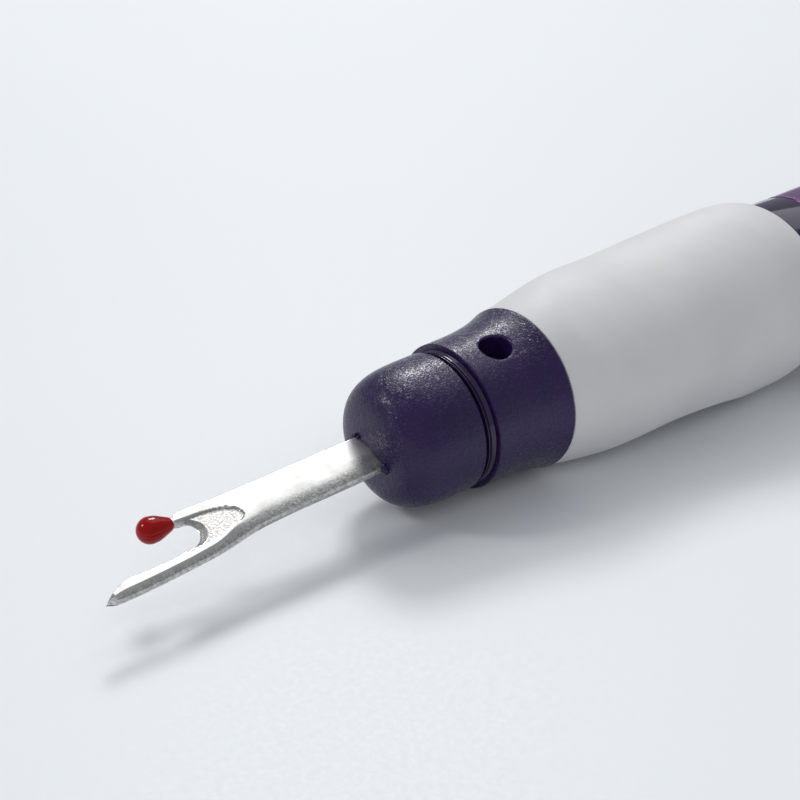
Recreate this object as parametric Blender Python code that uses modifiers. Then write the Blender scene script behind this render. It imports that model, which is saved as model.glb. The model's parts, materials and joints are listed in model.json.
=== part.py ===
"""Ergonomic seam ripper, lying on the two small flats under its grip.

The tool is described in its own axes: X along the handle from the rear edge of
the nose (the blade points to -X, the tail to +X), Z square to the face of the
blade. The whole tool hangs from one empty that lays it on the ground. All
dimensions below are in millimetres, and MM turns them into metres.
"""
import math

import bmesh
import bpy

MM = 0.001

# How the tool lies on the ground
LIE_Z = 7.45             # height of the handle's axis at the rear edge of the nose
LIE_X = -46.2           # rear edge of the nose, from the middle of the whole length
LIE_Y = 0.0
ROLL = 17.9             # the face of the blade leans towards -Y, degrees
PITCH = 3.2             # the blade droops, degrees

# Blade
BLADE_THICKNESS = 0.9
BLADE_DROP = -0.25      # middle of the blade below the handle's axis
BLADE_SKEW = 0.6        # blade turned in its slot, degrees
SHANK_HALF = 2.05
TANG_END = 7.6
FLARE_START = -19.5
FORK_OUTER = -3.05      # outer edge of the long arm
FORK_INNER = -1.85      # inner edge of the long arm
POINT = (-35.6, -2.9)
CROTCH = (-26.9, 0.05)
CROTCH_HALF = (1.45, 1.40)
SHORT_ARM_END = -26.75
NIB = (-28.2, 1.72, 0.24)   # end station, middle and half width of the bead's peg
POCKET_DEPTH = 0.2

# Red bead on the short arm
BEAD_NECK = -26.9
BEAD_LENGTH = 3.1
BEAD_RADIUS = 1.15
BEAD_NECK_RADIUS = 0.68

# Nose and collar
NOSE_RADIUS = 6.5
NOSE_LENGTH = 7.8
SPIGOT_RADIUS = 4.6
SPIGOT_END = 2.4
RING = (0.42, 1.12, 6.6)    # from, to and radius of the snap ring
COLLAR = (1.27, 9.33)       # from and to
COLLAR_FRONT_RADIUS = 6.9
COLLAR_RIM_RADIUS = 7.85
BORE_RADIUS = 4.9
SIDE_HOLE_STATION = 5.0
SIDE_HOLE_RADIUS = 1.45
PIN_RADIUS = 0.8
PIN_HEAD_RADIUS = 1.15
TANG_HOLE_RADIUS = 1.1
SLOT_CLEARANCE = 0.15

# Grip
GRIP = (9.5, 43.6)
GRIP_BORE = 5.5
GRIP_STATIONS = 24
GRIP_AROUND = 44
GRIP_PROFILE = ((9.5, 7.75), (12.5, 8.3), (16.5, 8.95), (23.0, 9.3), (31.0, 9.6), (37.2, 9.75),
                (40.4, 9.7), (41.9, 9.47), (42.8, 9.13), (43.35, 8.65), (43.6, 8.1))
BELLY_DROP = 0.3            # the rear of the grip sags below the handle's axis
SCALLOP_DEPTH = 1.1
SCALLOP_STATION = 25.0
SCALLOP_HALF_LENGTH = 13.5
SCALLOPS = ((-8.0, 66.0), (207.0, 48.0))    # thumb and finger rests: middle and half width, degrees

# Handle behind the grip
HANDLE_RADIUS = 8.0
SPINE_RADIUS = 5.2
SHOULDER = (43.9, 48.6)
TONGUE_END = 62.6
TONGUE_HALF_WIDTH = 5.6
TONGUE_INNER_RADIUS = 6.4
SPINE_END = 57.1
BARREL = (48.9, 86.1)
BARREL_SWELL_RADIUS = 8.4
BARREL_FRONT_BORE = 5.0
BARREL_REAR_BORE = 7.1
BARREL_BORE_STEP = 64.6

# Tail plug and cap
PLUG = (78.1, 86.4, 87.9)   # spigot start, flange start and flange end
POST_START = 88.6
POST_END = 96.1
PLUG_BORE_RADIUS = 5.6      # blind bore that lightens the plug, open to the barrel
PLUG_BORE_END = 93.1
CAP = (88.2, 127.7)
CAP_OUTER_RADIUS = 7.5
CAP_INNER_RADIUS = 6.75
CAP_LIP_RADIUS = 6.62
CAP_END_WALL = 1.2

AROUND = 40                 # facets round the handle's turned pieces
AROUND_SMALL = 20           # facets round the bead, the pin and the small holes

# Colours: red, green, blue, roughness, metallic
STEEL = (0.72, 0.72, 0.71, 0.30, 1.0)
RED = (0.22, 0.008, 0.010, 0.18, 0.0)
PURPLE = (0.030, 0.022, 0.075, 0.42, 0.0)
PURPLE_GLOSS = (0.022, 0.015, 0.045, 0.15, 0.0)
WHITE = (0.66, 0.66, 0.68, 0.60, 0.0)
LILAC = (0.38, 0.18, 0.45, 0.12, 0.0)
CLEAR = (0.85, 0.88, 0.90, 0.08, 0.0)


def remove_everything():
    """Start from an empty scene."""
    for old in list(bpy.data.objects):
        bpy.data.objects.remove(old, do_unlink=True)


def new_collection(name):
    group = bpy.data.collections.new(name)
    bpy.context.scene.collection.children.link(group)
    return group


def new_material(name, values):
    """A Principled material with the given colour, roughness and metallic value."""
    made = bpy.data.materials.new(name)
    made.use_nodes = True
    shader = made.node_tree.nodes["Principled BSDF"]
    shader.inputs["Base Color"].default_value = (*values[:3], 1.0)
    shader.inputs["Roughness"].default_value = values[3]
    shader.inputs["Metallic"].default_value = values[4]
    made.diffuse_color = (*values[:3], 1.0)
    return made


def new_empty(name, parent=None):
    empty = bpy.data.objects.new(name, None)
    parts.objects.link(empty)
    empty.parent = parent
    return empty


def place(made, look, parent, group):
    """Give an object its material, its parent and its collection."""
    if look is not None:
        made.data.materials.append(look)
    made.parent = parent
    group.objects.link(made)
    return made


def as_cutter(made):
    made.hide_render = True
    made.display_type = "WIRE"
    return made


def turned(name, profile, look, parent, group, closed=False, along="X", around=AROUND):
    """Turn a profile of (station, radius) points, listed down the outer side from the far end."""
    mesh = bpy.data.meshes.new(name)
    form = bmesh.new()
    corners = [form.verts.new((radius * MM, 0.0, station * MM)) for station, radius in profile]
    for first, second in zip(corners, corners[1:]):
        form.edges.new((first, second))
    if closed:
        form.edges.new((corners[-1], corners[0]))
    form.to_mesh(mesh)
    form.free()
    made = place(bpy.data.objects.new(name, mesh), look, parent, group)
    if along == "X":
        made.rotation_euler = (0.0, math.radians(90.0), 0.0)
    screw = made.modifiers.new("turn", "SCREW")
    screw.axis = "Z"
    screw.steps = around
    screw.render_steps = around
    screw.use_smooth_shade = True
    screw.use_merge_vertices = True
    screw.merge_threshold = 0.000001
    return made


def flat_plate(name, outline, thickness, look, parent, group):
    """A flat plate cut to an outline in the XY plane, as a welded mesh."""
    data = bpy.data.curves.new(name, "CURVE")
    data.dimensions = "2D"
    data.fill_mode = "BOTH"
    data.extrude = thickness / 2 * MM
    spline = data.splines.new("POLY")
    spline.points.add(len(outline) - 1)
    for point, (x, y) in zip(spline.points, outline):
        point.co = (x * MM, y * MM, 0.0, 1.0)
    spline.use_cyclic_u = True
    drawn = bpy.data.objects.new(name + "_outline", data)
    bpy.context.scene.collection.objects.link(drawn)
    evaluated = drawn.evaluated_get(bpy.context.evaluated_depsgraph_get())
    mesh = bpy.data.meshes.new_from_object(evaluated)
    form = bmesh.new()
    form.from_mesh(mesh)
    bmesh.ops.remove_doubles(form, verts=form.verts, dist=0.000001)
    form.to_mesh(mesh)
    form.free()
    mesh.name = name
    made = place(bpy.data.objects.new(name, mesh), look, parent, group)
    bpy.data.objects.remove(drawn, do_unlink=True)
    return made


def box_cutter(name, low, high, parent=None):
    """A block between two corners."""
    mesh = bpy.data.meshes.new(name)
    form = bmesh.new()
    bmesh.ops.create_cube(form, size=1.0)
    for corner in form.verts:
        for axis in range(3):
            middle = (low[axis] + high[axis]) / 2
            corner.co[axis] = (middle + corner.co[axis] * (high[axis] - low[axis])) * MM
    form.to_mesh(mesh)
    form.free()
    return as_cutter(place(bpy.data.objects.new(name, mesh), None, parent, cutters))


def boolean(target, other, operation="DIFFERENCE"):
    step = target.modifiers.new(operation.lower(), "BOOLEAN")
    step.operation = operation
    step.object = other
    return step


def shade(made, angle=35.0):
    """Smooth shading with sharp edges kept, on an object whose mesh is its final form."""
    made.data.shade_smooth()
    made.data.set_sharp_from_angle(angle=math.radians(angle))


def arc(centre, half, start, end, count):
    """Points on an ellipse round centre, between two angles in degrees."""
    turn = [math.radians(start + (end - start) * i / count) for i in range(count + 1)]
    return [(centre[0] + half[0] * math.cos(t), centre[1] + half[1] * math.sin(t)) for t in turn]


def blunt_dome(station, length, radius, count=11):
    """A blunt round end from its edge to its tip: the fourth-power oval of this length and radius."""
    turn = [math.pi / 2 * i / count for i in range(count + 1)]
    return [(station + length * math.sqrt(math.sin(t)), radius * math.sqrt(max(math.cos(t), 0.0)))
            for t in turn[:-1]] + [(station + length, 0.0)]


def smooth_step(value):
    value = min(max(value, 0.0), 1.0)
    return value * value * (3 - 2 * value)


def smooth_line(points, at):
    """A smooth curve through (station, value) points, read at one station."""
    stations = [p[0] for p in points]
    values = [p[1] for p in points]
    last = len(points) - 1
    slopes = []
    for i in range(len(points)):
        before, after = max(i - 1, 0), min(i + 1, last)
        slopes.append((values[after] - values[before]) / (stations[after] - stations[before]))
    i = max(k for k in range(last) if at >= stations[k] or k == 0)
    width = stations[i + 1] - stations[i]
    t = min(max((at - stations[i]) / width, 0.0), 1.0)
    bend = (values[i] * (1 + 2 * t) * (1 - t) ** 2 + values[i + 1] * t * t * (3 - 2 * t)
            + width * (slopes[i] * t * (1 - t) ** 2 - slopes[i + 1] * t * t * (1 - t)))
    return bend


def blade_outline():
    """Tang, shank, short arm with its peg, round crotch and long pointed arm."""
    outline = [(TANG_END, SHANK_HALF - 0.6), (TANG_END - 0.6, SHANK_HALF)]
    outline += [(FLARE_START, SHANK_HALF), (-22.0, SHANK_HALF + 0.03), (-24.5, 2.18), (-26.0, 2.24)]
    outline += [(SHORT_ARM_END, 2.15), (SHORT_ARM_END, NIB[1] + NIB[2])]
    outline += [(NIB[0], NIB[1] + NIB[2]), (NIB[0], NIB[1] - NIB[2])]
    outline += [(SHORT_ARM_END - 0.1, NIB[1] - NIB[2])]
    outline += arc(CROTCH, CROTCH_HALF, 84, -84, 14)
    outline += [(-27.6, -1.6), (-28.6, FORK_INNER + 0.05), (-30.5, FORK_INNER)]
    outline += [(-33.4, FORK_INNER - 0.05), (-34.4, -2.15), (-35.1, -2.52), POINT]
    outline += [(-35.0, -3.02), (-33.5, FORK_OUTER - 0.03), (-31.0, FORK_OUTER), (-28.0, -2.95)]
    outline += [(-25.5, -2.78), (-23.5, -2.55), (-21.5, -2.24), (FLARE_START, -SHANK_HALF)]
    outline += [(TANG_END - 0.6, -SHANK_HALF), (TANG_END, -SHANK_HALF + 0.6)]
    return outline


def pocket_outline():
    """The coined pocket round the crotch: a pointed arch that opens towards the fork."""
    return [(-26.55, 1.62), (-25.4, 1.5), (-24.3, 1.38), (-23.1, 1.13), (-22.1, 0.8), (-21.45, 0.3),
            (-21.2, -0.3), (-21.6, -0.85), (-22.8, -1.25), (-24.2, -1.58), (-25.4, -1.76),
            (-27.2, -1.45), (-27.2, 1.3)]


def make_blade():
    blade = flat_plate("blade", blade_outline(), BLADE_THICKNESS, steel, blade_seat, parts)
    top = BLADE_THICKNESS / 2
    pocket = flat_plate("pocket_cutter", pocket_outline(), 1.0, None, blade_seat, cutters)
    pocket.location.z = (top - POCKET_DEPTH + 0.5) * MM
    boolean(blade, as_cutter(pocket))
    profile = [(4.0, 0.0), (4.0, TANG_HOLE_RADIUS), (-4.0, TANG_HOLE_RADIUS), (-4.0, 0.0)]
    hole = turned("tang_hole_cutter", profile, None, tool, cutters, along="Z", around=AROUND_SMALL)
    hole.location.x = SIDE_HOLE_STATION * MM
    boolean(blade, as_cutter(hole))


def make_bead():
    """A drop moulded on the peg of the short arm: a round end drawn out to a narrow neck."""
    ball = BEAD_LENGTH - BEAD_RADIUS
    profile = [(0.0, 0.0), (0.0, BEAD_NECK_RADIUS)]
    for i in range(1, 8):
        growth = (BEAD_RADIUS - BEAD_NECK_RADIUS) * smooth_step(i / 8)
        profile.append((-ball * i / 8, BEAD_NECK_RADIUS + growth))
    profile += [(-ball - BEAD_RADIUS * math.sin(t), BEAD_RADIUS * math.cos(t))
                for t in (math.pi / 2 * i / 9 for i in range(9))]
    profile.append((-BEAD_LENGTH, 0.0))
    bead = turned("tip_bead", profile, red, blade_seat, parts, around=AROUND_SMALL)
    bead.location = (BEAD_NECK * MM, NIB[1] * MM, 0.0)
    peg = box_cutter("peg_cutter", (NIB[0] - 0.15, NIB[1] - NIB[2] - 0.12, -BLADE_THICKNESS / 2 - 0.1),
                     (BEAD_NECK + 1.0, NIB[1] + NIB[2] + 0.12, BLADE_THICKNESS / 2 + 0.1), blade_seat)
    boolean(bead, peg)


def make_blade_holder(slot):
    profile = [(SPIGOT_END, 0.0), (SPIGOT_END, SPIGOT_RADIUS), (0.0, SPIGOT_RADIUS),
               (0.0, NOSE_RADIUS - 0.1)]
    profile += [(-station, radius) for station, radius in blunt_dome(0.1, NOSE_LENGTH - 0.1, NOSE_RADIUS)]
    holder = turned("blade_holder", profile, purple, tool, parts)
    boolean(holder, slot)


def make_snap_ring():
    start, end, radius = RING
    edge = 0.12
    profile = [(end, radius - edge), (end - edge, radius), (start + edge, radius), (start, radius - edge),
               (start, BORE_RADIUS), (end, BORE_RADIUS)]
    turned("snap_ring", profile, purple_gloss, tool, parts, closed=True)


def make_neck_collar():
    """A grained ring that flares towards the grip, with one round hole in the side the blade faces."""
    start, end = COLLAR
    edge = 0.13
    profile = [(end, COLLAR_RIM_RADIUS - edge)]
    for i in range(12):
        along = 1 - i / 11
        radius = COLLAR_FRONT_RADIUS + (COLLAR_RIM_RADIUS - COLLAR_FRONT_RADIUS) * along ** 3.2
        profile.append((start + edge + (end - start - 2 * edge) * along, radius))
    profile += [(start, COLLAR_FRONT_RADIUS - edge), (start, BORE_RADIUS), (end, BORE_RADIUS)]
    collar = turned("neck_collar", profile, purple, tool, parts, closed=True)
    top = COLLAR_RIM_RADIUS + 1
    profile = [(top, 0.0), (top, SIDE_HOLE_RADIUS), (4.0, SIDE_HOLE_RADIUS), (4.0, 0.0)]
    hole = turned("side_hole_cutter", profile, None, tool, cutters, along="Z", around=AROUND_SMALL)
    hole.location.x = SIDE_HOLE_STATION * MM
    boolean(collar, as_cutter(hole))


def make_tang_pin():
    """The headed pin that locks the tang, deep in the side hole."""
    profile = [(2.7, 0.0), (2.7, PIN_HEAD_RADIUS), (2.2, PIN_HEAD_RADIUS), (2.2, PIN_RADIUS),
               (-3.1, PIN_RADIUS), (-3.3, PIN_RADIUS - 0.2), (-3.3, 0.0)]
    pin = turned("tang_pin", profile, steel, tool, parts, along="Z", around=AROUND_SMALL)
    pin.location.x = SIDE_HOLE_STATION * MM


def tongue_block(name, clearance):
    """The two side tongues: a ring cut to a long round-ended shape, seen from the side."""
    start = SHOULDER[1] - 1.0
    half = TONGUE_HALF_WIDTH + clearance
    tip = TONGUE_END + clearance
    outer = HANDLE_RADIUS - 0.03 if clearance == 0 else HANDLE_RADIUS + 1.5
    inner = TONGUE_INNER_RADIUS - clearance
    ring = turned(name, [(tip + 2, outer), (start, outer), (start, inner), (tip + 2, inner)],
                  None, tool, cutters, closed=True)
    outline = [(start - 1, half), (start - 1, -half)]
    outline += arc((tip - half, 0.0), (half, half), -90, 90, 16)
    side = flat_plate(name + "_outline_cutter", outline, 30.0, None, tool, cutters)
    side.rotation_euler = (math.radians(90.0), 0.0, 0.0)
    boolean(as_cutter(ring), as_cutter(side), "INTERSECT")
    return ring


def make_handle_core(slot):
    """The spine inside the grip, with a front boss, a visible shoulder and two rear tongues."""
    edge = 0.12
    front = SPIGOT_END + 0.3
    profile = [(SPINE_END, 0.0), (SPINE_END, BARREL_FRONT_BORE - 0.3), (SHOULDER[1], BARREL_FRONT_BORE - 0.3),
               (SHOULDER[1], HANDLE_RADIUS - edge), (SHOULDER[1] - edge, HANDLE_RADIUS),
               (SHOULDER[0], HANDLE_RADIUS), (SHOULDER[0], SPINE_RADIUS), (COLLAR[1] + 0.3, SPINE_RADIUS),
               (COLLAR[1] + 0.3, SPIGOT_RADIUS), (front, SPIGOT_RADIUS), (front, 0.0)]
    core = turned("handle_core", profile, purple_gloss, tool, parts)
    boolean(core, tongue_block("tongues_cutter", 0.0), "UNION")
    boolean(core, slot)
    hole = turned("pin_hole_cutter", [(6.0, 0.0), (6.0, SIDE_HOLE_RADIUS), (1.9, SIDE_HOLE_RADIUS),
                                      (1.9, PIN_RADIUS + 0.2), (-3.6, PIN_RADIUS + 0.2), (-3.6, 0.0)],
                  None, tool, cutters, along="Z", around=AROUND_SMALL)
    hole.location.x = SIDE_HOLE_STATION * MM
    boolean(core, as_cutter(hole))


def grip_radius(station, angle):
    """Radius of the grip without its sag: a swelling cone with a shallow rest above and one below."""
    radius = smooth_line(GRIP_PROFILE, station)
    for middle, half_angle in SCALLOPS:
        away = (angle - middle + 180.0) % 360.0 - 180.0
        along = (station - SCALLOP_STATION) / SCALLOP_HALF_LENGTH
        reach = math.hypot(along, away / half_angle)
        radius -= SCALLOP_DEPTH * smooth_step(1 - reach)
    return radius


def make_grip_sleeve():
    """A soft sleeve lofted between its rings, cut flat where it lies on the ground."""
    down = math.radians(180.0 + ROLL)
    form = bmesh.new()
    rings = []
    for i in range(GRIP_STATIONS + 1):
        station = GRIP[0] + (GRIP[1] - GRIP[0]) * (1 - (1 - i / GRIP_STATIONS) ** 1.25)
        sag = BELLY_DROP * smooth_step((station - 16.0) / 20.0)
        ring = []
        for k in range(GRIP_AROUND):
            angle = 360.0 * k / GRIP_AROUND
            radius = grip_radius(station, angle)
            y = radius * math.sin(math.radians(angle)) + sag * math.sin(down)
            z = radius * math.cos(math.radians(angle)) + sag * math.cos(down)
            ring.append(form.verts.new((station * MM, y * MM, z * MM)))
        rings.append(ring)
    turn = [2 * math.pi * k / GRIP_AROUND for k in range(GRIP_AROUND)]
    bore = GRIP_BORE * MM
    for station in (GRIP[1], GRIP[0]):
        rings.append([form.verts.new((station * MM, bore * math.sin(t), bore * math.cos(t)))
                      for t in turn])
    for i, ring in enumerate(rings):
        after = rings[(i + 1) % len(rings)]
        for k in range(GRIP_AROUND):
            n = (k + 1) % GRIP_AROUND
            form.faces.new((ring[k], after[k], after[n], ring[n]))
    bmesh.ops.recalc_face_normals(form, faces=form.faces)
    mesh = bpy.data.meshes.new("grip_sleeve")
    form.to_mesh(mesh)
    form.free()
    grip = place(bpy.data.objects.new("grip_sleeve", mesh), white, tool, parts)
    shade(grip)
    ground = box_cutter("ground_cutter", (-150.0, -40.0, -12.0), (150.0, 40.0, 0.0))
    boolean(grip, ground)


def make_rear_barrel():
    """The tinted barrel: thick round the spine, thin-walled behind it, with a seat for each tongue."""
    start, end = BARREL
    edge = 0.12
    profile = [(end, HANDLE_RADIUS - 0.6), (end - 0.3, HANDLE_RADIUS - 0.3), (end - 0.9, HANDLE_RADIUS)]
    for i in range(9):
        station = end - 1.2 - (end - 1.2 - BARREL_BORE_STEP) * i / 8
        swell = math.sin(math.pi * (end - station) / (end - BARREL_BORE_STEP))
        profile.append((station, HANDLE_RADIUS + (BARREL_SWELL_RADIUS - HANDLE_RADIUS) * swell))
    profile += [(start + edge, HANDLE_RADIUS), (start, HANDLE_RADIUS - edge), (start, BARREL_FRONT_BORE),
                (BARREL_BORE_STEP, BARREL_FRONT_BORE), (BARREL_BORE_STEP + 1.5, BARREL_REAR_BORE),
                (end, BARREL_REAR_BORE)]
    barrel = turned("rear_barrel", profile, lilac, tool, parts, closed=True)
    boolean(barrel, tongue_block("tongue_seats_cutter", 0.3))


def make_tail_plug():
    """Closes the barrel, and carries a post of the nose's size that parks the cap."""
    spigot, flange, flange_end = PLUG
    profile = blunt_dome(POST_START + 0.1, POST_END - POST_START - 0.1, NOSE_RADIUS)[::-1]
    profile += [(POST_START, NOSE_RADIUS - 0.1), (POST_START, 5.9), (flange_end, 5.9), (flange_end, 7.4),
                (flange_end - 0.25, 7.6), (flange + 0.15, 7.6), (flange, 7.45),
                (flange, BARREL_REAR_BORE - 0.3), (spigot, BARREL_REAR_BORE - 0.3),
                (spigot, PLUG_BORE_RADIUS), (PLUG_BORE_END - 1.0, PLUG_BORE_RADIUS),
                (PLUG_BORE_END, PLUG_BORE_RADIUS - 1.0), (PLUG_BORE_END, 0.0)]
    turned("tail_plug", profile, purple, tool, parts)


def make_cap():
    """A clear thimble for the blade, parked on the tail post, with a snap lip inside its mouth."""
    mouth, end = CAP
    inner_end = end - CAP_END_WALL
    profile = [(end, 0.0)]
    profile += [(end - 0.9 + 0.9 * math.cos(t), CAP_OUTER_RADIUS - 0.9 + 0.9 * math.sin(t))
                for t in (math.pi / 2 * i / 4 for i in range(5))]
    profile += [(mouth + 0.1, CAP_OUTER_RADIUS), (mouth, CAP_OUTER_RADIUS - 0.1),
                (mouth, CAP_LIP_RADIUS + 0.1), (mouth + 0.2, CAP_LIP_RADIUS),
                (mouth + 0.7, CAP_LIP_RADIUS), (mouth + 0.95, CAP_INNER_RADIUS),
                (inner_end - 0.6, CAP_INNER_RADIUS), (inner_end, CAP_INNER_RADIUS - 0.6),
                (inner_end, 0.0)]
    turned("cap", profile, clear, cap_seat, parts)


remove_everything()
parts = new_collection("seam_ripper")
cutters = new_collection("cutters")

steel = new_material("blade_steel", STEEL)
red = new_material("red_bead", RED)
purple = new_material("grained_purple", PURPLE)
purple_gloss = new_material("glossy_purple", PURPLE_GLOSS)
white = new_material("white_grip", WHITE)
lilac = new_material("lilac_barrel", LILAC)
clear = new_material("clear_cap", CLEAR)

pitch = math.radians(PITCH)
tool = new_empty("tool_axis")
tool.rotation_euler = (math.radians(ROLL), -pitch, 0.0)
tool.location = (LIE_X * MM, LIE_Y * MM, LIE_Z * MM)
blade_seat = new_empty("blade_seat", tool)
blade_seat.rotation_euler = (0.0, 0.0, math.radians(BLADE_SKEW))
blade_seat.location.z = BLADE_DROP * MM
cap_seat = new_empty("cap_slide_axis", tool)

half_slot = BLADE_THICKNESS / 2 + SLOT_CLEARANCE
tang_slot = box_cutter("tang_slot_cutter", (-12.0, -SHANK_HALF - SLOT_CLEARANCE, -half_slot),
                       (TANG_END + 0.4, SHANK_HALF + SLOT_CLEARANCE, half_slot), blade_seat)

make_blade()
make_bead()
make_blade_holder(tang_slot)
make_snap_ring()
make_neck_collar()
make_tang_pin()
make_handle_core(tang_slot)
make_grip_sleeve()
make_rear_barrel()
make_tail_plug()
make_cap()
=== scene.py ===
"""Looks for the ergonomic seam ripper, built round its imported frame.

Every piece is made in the tool's own axes, in millimetres: X along the handle from the
rear edge of the nose (the blade points to -X, the tail to +X), Z square to the face of
the blade. One matrix lays them in the row's frame, so a piece's object coordinates are
the tool's axes, which the materials' grain follows.
"""
import json
import math

import bmesh
import bpy
import numpy as np
from mathutils import Matrix, Vector
from mathutils.geometry import delaunay_2d_cdt


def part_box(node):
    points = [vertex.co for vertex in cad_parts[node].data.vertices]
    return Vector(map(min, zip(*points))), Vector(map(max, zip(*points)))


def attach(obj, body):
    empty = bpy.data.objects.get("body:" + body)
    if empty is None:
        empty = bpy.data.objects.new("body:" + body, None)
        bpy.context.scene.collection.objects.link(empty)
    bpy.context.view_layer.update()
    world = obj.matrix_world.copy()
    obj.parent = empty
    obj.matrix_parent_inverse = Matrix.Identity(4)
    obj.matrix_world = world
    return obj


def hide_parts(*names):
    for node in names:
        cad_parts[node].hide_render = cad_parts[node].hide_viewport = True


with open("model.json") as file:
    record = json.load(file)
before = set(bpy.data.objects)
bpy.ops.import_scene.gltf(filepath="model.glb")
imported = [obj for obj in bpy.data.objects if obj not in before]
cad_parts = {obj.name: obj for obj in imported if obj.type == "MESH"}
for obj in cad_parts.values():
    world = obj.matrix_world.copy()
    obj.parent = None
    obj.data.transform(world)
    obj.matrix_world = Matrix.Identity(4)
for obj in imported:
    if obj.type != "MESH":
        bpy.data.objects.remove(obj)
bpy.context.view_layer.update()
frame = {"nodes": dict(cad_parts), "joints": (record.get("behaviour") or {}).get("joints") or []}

MM = 0.001
ROLL = math.radians(17.9)       # the face of the blade leans towards -Y
RING_MIDDLE = 0.77              # the snap ring's middle, along the handle

# Blade, in its own plane
THICKNESS = 0.9
BLADE_DROP = -0.25
BLADE_SKEW = math.radians(0.6)
SHANK_HALF = 2.05
TANG_END = 7.6
VISIBLE_FROM = -7.4             # the nose hides the blade behind this station
FINE, COARSE = 0.10, 0.6        # spacing of the mesh's points, seen and hidden
TIP = (-35.6, -2.9)
CROTCH = (-26.9, 0.05)
CROTCH_HALF = (1.45, 1.40)
ROLL_DROP = 0.42                # how far the near edge is rolled down
SIDE_DROP = 0.84                # and how far its sheared side is below the face
POCKET_DEPTH = 0.20
CRESCENT = 0.64                 # widest width of the sharpened edge in the crotch

# Bead
BEAD_NECK = (-26.72, 1.74)
BEAD_TILT = math.radians(-8.0)
BEAD_LENGTH = 3.15
BEAD_RADIUS = 1.15

# Nose, ring and collar
NOSE_RADIUS = 6.5
NOSE_LENGTH = 7.8
SPIGOT_RADIUS = 4.6             # of the nose and of the handle, inside the ring and the collar
NOSE_SPIGOT_END = 2.4
RING = (0.36, 1.20, 6.45)       # start, end and radius
RING_GROOVE = 0.17
COLLAR = (1.27, 9.33)
COLLAR_RADII = (6.9, 7.85)
BORE = 4.9
HOLE_STATION = 5.0
HOLE_RADIUS = 1.45

# Grip
GRIP = (9.5, 43.6)
GRIP_BORE = 5.5
GRIP_PROFILE = ((9.5, 7.72), (12.5, 8.3), (16.5, 8.95), (23.0, 9.3), (31.0, 9.6), (37.2, 9.75),
                (40.4, 9.7), (41.9, 9.47), (42.8, 9.13), (43.35, 8.65), (43.6, 8.1))
BELLY_DROP = 0.3
SCALLOP_DEPTH = 1.35
SCALLOP_STATION = 25.0
SCALLOP_HALF_LENGTH = 13.0
SCALLOPS = ((-8.0, 66.0), (207.0, 46.0))    # the two rests: middle and half width, degrees

# Handle behind the grip
HANDLE_RADIUS = 8.0
SHOULDER = (43.9, 48.6)
TONGUE_END = 62.6
TONGUE_HALF_WIDTH = 5.6
TONGUE_RADII = (6.4, 7.97)
HANDLE_FRONT = 2.7
GRIP_SEAT = (9.63, 5.2)         # start and radius of the spine inside the grip
SPINE_END = 57.1
SPINE_RADIUS = 4.7
BARREL = (48.9, 86.1)
BARREL_THICK_END = 64.6         # the wall is thick in front of this station
BARREL_BORES = (5.0, 7.1)       # in the thick wall and behind it
BARREL_SWELL = 0.4
SEAT_CLEARANCE = 0.12
SEAT_RADIUS = 9.6
PLUG = (78.1, 86.4, 87.9)       # spigot, flange and flange end
PLUG_RADII = (6.8, 7.6, 5.9)    # spigot, flange and neck
PLUG_BORE = ((92.5, 5.6), (93.1, 5.0))
POST = (88.6, 96.1)
CAP = (88.2, 127.7)
CAP_RADII = (6.75, 7.5)
CAP_LIP = 0.13
CAP_END_WALL = 1.2

# Camera, in the tool's axes
LENS = 67.5
CAMERA_PLACE = (-73.673, -66.979, 90.337)
CAMERA_AHEAD = (0.53261, 0.52291, -0.6655)

SHARP_ANGLE = 32.0              # edges sharper than this many degrees are shaded as edges


# ---------------------------------------------------------------- frame of the tool
tool_x = Vector(frame["joints"][0]["axis"]).normalized()
ring_low, ring_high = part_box("snap_ring")
nose_rear = (ring_low + ring_high) / 2 - tool_x * RING_MIDDLE * MM
TOOL = (Matrix.Translation(nose_rear) @ Matrix.Rotation(-math.asin(tool_x.z), 4, "Y")
        @ Matrix.Rotation(ROLL, 4, "X"))
BLADE_PLANE = (TOOL @ Matrix.Translation((0.0, 0.0, BLADE_DROP * MM))
               @ Matrix.Rotation(BLADE_SKEW, 4, "Z"))


# ---------------------------------------------------------------- curves
def smooth(value):
    value = np.clip(value, 0.0, 1.0)
    return value * value * (3 - 2 * value)


def curve(points):
    """A smooth curve through (x, y) points with rising x, as a function of an array."""
    xs = np.array([p[0] for p in points], float)
    ys = np.array([p[1] for p in points], float)
    slopes = np.gradient(ys, xs)

    def read(at):
        at = np.asarray(at, float)
        i = np.clip(np.searchsorted(xs, at) - 1, 0, len(xs) - 2)
        width = xs[i + 1] - xs[i]
        t = np.clip((at - xs[i]) / width, 0.0, 1.0)
        return (ys[i] * (1 + 2 * t) * (1 - t) ** 2 + ys[i + 1] * t * t * (3 - 2 * t)
                + width * (slopes[i] * t * (1 - t) ** 2 - slopes[i + 1] * t * t * (1 - t)))

    return read


def rounded(points, steps=6):
    """A (station, radius) profile with each corner rounded by its third value, in mm."""
    out = []
    for i, point in enumerate(points):
        here = np.array(point[:2], float)
        size = point[2] if len(point) > 2 else 0.0
        if size == 0.0 or i in (0, len(points) - 1):
            out.append(tuple(here))
            continue
        back = np.array(points[i - 1][:2], float) - here
        ahead = np.array(points[i + 1][:2], float) - here
        reach = min(size, 0.49 * np.linalg.norm(back), 0.49 * np.linalg.norm(ahead))
        back *= reach / np.linalg.norm(back)
        ahead *= reach / np.linalg.norm(ahead)
        for t in np.linspace(0.0, 1.0, steps + 1):
            out.append(tuple(here + back * (1 - t) ** 2 + ahead * t * t))
    return out


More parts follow.
